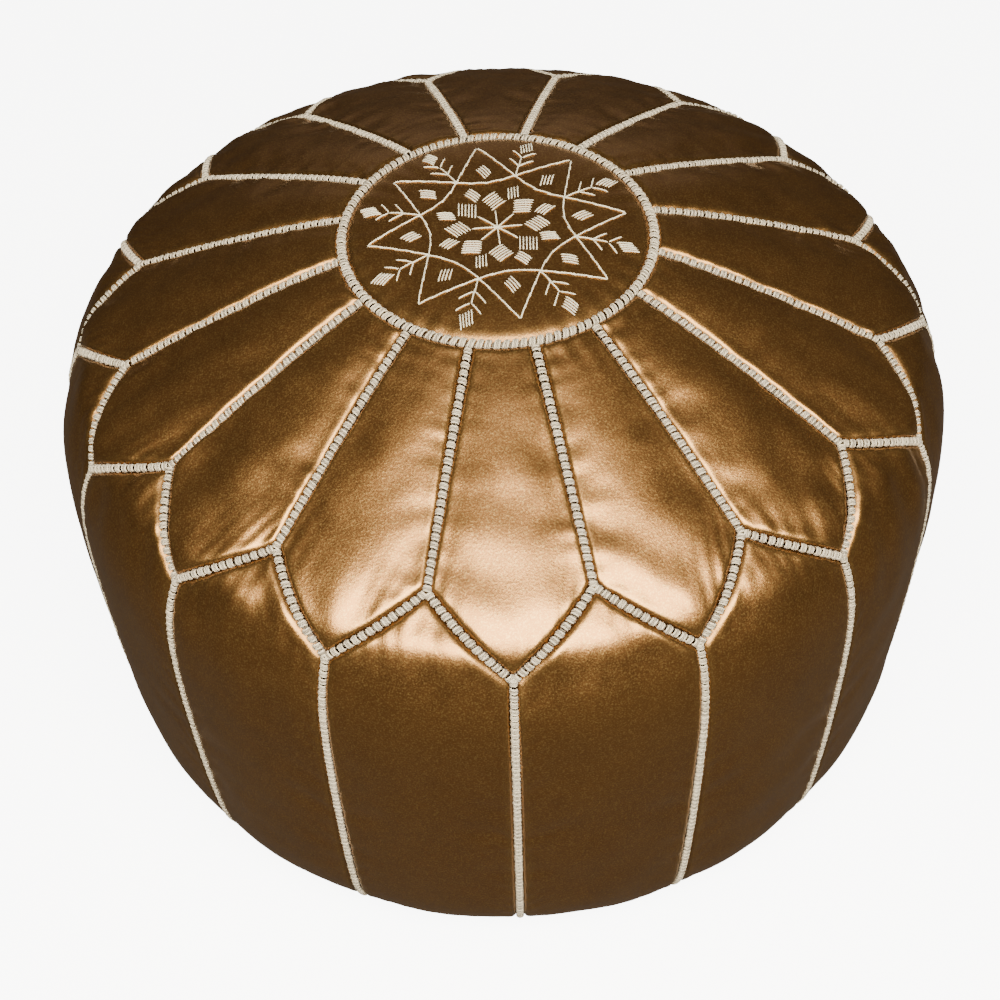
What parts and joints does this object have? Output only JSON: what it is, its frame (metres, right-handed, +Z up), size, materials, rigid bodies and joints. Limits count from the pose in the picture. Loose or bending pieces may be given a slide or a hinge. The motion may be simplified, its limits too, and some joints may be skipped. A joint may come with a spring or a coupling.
{
  "type": "moroccan leather pouf",
  "caption": "Round stuffed leather floor pouf with petal-shaped top panels, raised stitched seams, an embroidered star medallion and a zip in its base.",
  "frame": {"origin": "centre of the circle that the pouf stands on, at floor level", "axes": "+Z up along the pouf's axis; -Y is the front, the middle of a top petal; +X to the right seen from the front, along the zip towards its closed end"},
  "size_m": [0.5146, 0.5146, 0.3401],
  "materials": {
    "bronze_leather": "pearly bronze, fine grain, semi-gloss",
    "seam_thread": "thick silvery cream thread, slight sheen",
    "embroidery_thread": "pale cream thread, matt",
    "cotton": "plain undyed cotton",
    "filling": "cotton wadding",
    "zip_tape": "dark brown woven tape",
    "zip_brass": "plain brass"
  },
  "bodies": {
    "pouf": {"filling": "filling", "cotton_lining": "cotton", "medallion_panel": "bronze_leather", "top_petal_01": "bronze_leather", "side_panel_01": "bronze_leather", "top_petal_02": "bronze_leather", "side_panel_02": "bronze_leather", "top_petal_03": "bronze_leather", "side_panel_03": "bronze_leather", "top_petal_04": "bronze_leather", "side_panel_04": "bronze_leather", "top_petal_05": "bronze_leather", "side_panel_05": "bronze_leather", "top_petal_06": "bronze_leather", "side_panel_06": "bronze_leather", "top_petal_07": "bronze_leather", "side_panel_07": "bronze_leather", "top_petal_08": "bronze_leather", "side_panel_08": "bronze_leather", "top_petal_09": "bronze_leather", "side_panel_09": "bronze_leather", "top_petal_10": "bronze_leather", "side_panel_10": "bronze_leather", "top_petal_11": "bronze_leather", "side_panel_11": "bronze_leather", "top_petal_12": "bronze_leather", "side_panel_12": "bronze_leather", "top_petal_13": "bronze_leather", "side_panel_13": "bronze_leather", "top_petal_14": "bronze_leather", "side_panel_14": "bronze_leather", "top_petal_15": "bronze_leather", "side_panel_15": "bronze_leather", "top_petal_16": "bronze_leather", "side_panel_16": "bronze_leather", "base_panel_front": "bronze_leather", "base_panel_back": "bronze_leather", "medallion_and_radial_stitching": "seam_thread", "zigzag_stitching": "seam_thread", "side_and_base_stitching": "seam_thread", "star_embroidery": "embroidery_thread", "rosette_embroidery": "embroidery_thread", "zip_tape_front": "zip_tape", "zip_tape_back": "zip_tape", "zip_teeth_front": "zip_brass", "zip_teeth_back": "zip_brass", "zip_top_stop_front": "zip_brass", "zip_top_stop_back": "zip_brass", "zip_bottom_stop": "zip_brass"},
    "slider": {"zip_slider": "zip_brass"},
    "pull_tab": {"zip_pull_tab": "zip_brass"}
  },
  "joints": [
    {"name": "zip_slide", "type": "slide", "parent": "pouf", "child": "slider", "axis": [-1, 0, 0], "range_m": [0, 0.225]},
    {"name": "pull_tab_swing", "type": "hinge", "parent": "slider", "child": "pull_tab", "pos_m": [0.113, 0, 0.0085], "axis": [0, -1, 0], "range_deg": [0, 170]}
  ]
}
